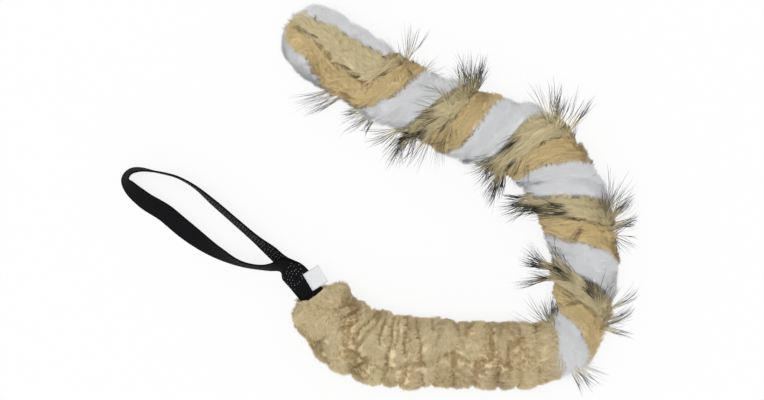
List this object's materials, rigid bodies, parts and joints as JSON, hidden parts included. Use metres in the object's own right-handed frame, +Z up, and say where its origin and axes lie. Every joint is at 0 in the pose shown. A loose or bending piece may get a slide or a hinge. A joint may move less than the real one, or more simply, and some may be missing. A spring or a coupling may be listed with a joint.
{
  "type": "bungee tug toy",
  "caption": "Dog tug toy: a flat webbing hand loop with a folded label, a gathered plush sleeve over a doubled bungee, and a tail of twisted faux-fur strips.",
  "frame": {"origin": "bottom centre of the whole toy's box as it lies on the floor", "axes": "+X from the hand loop towards the outside of the tail's curl, the long side of the box; +Y from the sleeve towards the tail's free end; +Z up off the floor"},
  "size_m": [0.498, 0.387, 0.0524],
  "materials": {
    "black_webbing": "plain-woven black nylon webbing with pale rubber grip dots on its inner face",
    "white_ribbon": "white woven satin ribbon, bare",
    "beige_plush": "short curly beige pile",
    "elastic": "braided cover over a rubber core",
    "tape": "woven cotton tape",
    "white_fur": "dense short white pile",
    "tan_fur": "soft tan plush pile",
    "long_hair_fur": "tan underfur with long black-tipped guard hairs"
  },
  "bodies": {
    "sleeve_body": {"sleeve": "beige_plush", "neck_webbing": "black_webbing", "bungee_cord": "elastic"},
    "handle": {"handle_strap": "black_webbing"},
    "label_ribbon": {"label": "white_ribbon"},
    "bungee_end": {"tail_root_cuff": "tape", "white_strip_root": "white_fur", "tan_strip_root": "tan_fur", "long_hair_strip_root": "long_hair_fur"},
    "tail_1": {"white_strip_1": "white_fur", "tan_strip_1": "tan_fur", "long_hair_strip_1": "long_hair_fur"},
    "tail_2": {"white_strip_2": "white_fur", "tan_strip_2": "tan_fur", "long_hair_strip_2": "long_hair_fur"},
    "tail_3": {"white_strip_3": "white_fur", "tan_strip_3": "tan_fur", "long_hair_strip_3": "long_hair_fur"},
    "tail_4": {"white_strip_4": "white_fur", "tan_strip_4": "tan_fur", "long_hair_strip_4": "long_hair_fur"},
    "tail_5": {"white_strip_5": "white_fur", "tan_strip_5": "tan_fur", "long_hair_strip_5": "long_hair_fur"}
  },
  "joints": [
    {"name": "handle_fold", "type": "hinge", "parent": "sleeve_body", "child": "handle", "pos_m": [-0.05819, -0.09801, 0.0225], "axis": [0.7577, 0.6526, 0], "range_deg": [0, 70], "deforming": ["neck_webbing"]},
    {"name": "label_flap", "type": "hinge", "parent": "handle", "child": "label_ribbon", "pos_m": [-0.06637, -0.07896, 0.02318], "axis": [0.5175, -0.8374, 0.1762], "range_deg": [0, 120]},
    {"name": "bungee_stretch", "type": "slide", "parent": "sleeve_body", "child": "bungee_end", "axis": [1, 0, 0], "range_m": [0, 0.14], "stiffness_N_per_m": 400, "deforming": ["sleeve", "bungee_cord"]},
    {"name": "tail_bend_1", "type": "hinge", "parent": "bungee_end", "child": "tail_1", "pos_m": [0.18332, -0.1539, 0.025], "axis": [0, 0, 1], "range_deg": [-60, 6], "deforming": ["white_strip_root", "tan_strip_root", "long_hair_strip_root"]},
    {"name": "tail_bend_2", "type": "hinge", "parent": "tail_1", "child": "tail_2", "pos_m": [0.21667, -0.0836, 0.02196], "axis": [0.999, -0.0456, 0], "range_deg": [0, 60], "deforming": ["white_strip_1", "tan_strip_1", "long_hair_strip_1"]},
    {"name": "tail_bend_3", "type": "hinge", "parent": "tail_2", "child": "tail_3", "pos_m": [0.19356, 0.01258, 0.02524], "axis": [0, 0, 1], "range_deg": [-60, 6], "deforming": ["white_strip_2", "tan_strip_2", "long_hair_strip_2"]},
    {"name": "tail_bend_4", "type": "hinge", "parent": "tail_3", "child": "tail_4", "pos_m": [0.11508, 0.06666, 0.02541], "axis": [0, 0, 1], "range_deg": [-60, 10], "deforming": ["white_strip_3", "tan_strip_3", "long_hair_strip_3"]},
    {"name": "tail_bend_5", "type": "hinge", "parent": "tail_4", "child": "tail_5", "pos_m": [0.02334, 0.10561, 0.02465], "axis": [0, 0, 1], "range_deg": [-50, 20], "deforming": ["white_strip_4", "tan_strip_4", "long_hair_strip_4"]}
  ]
}
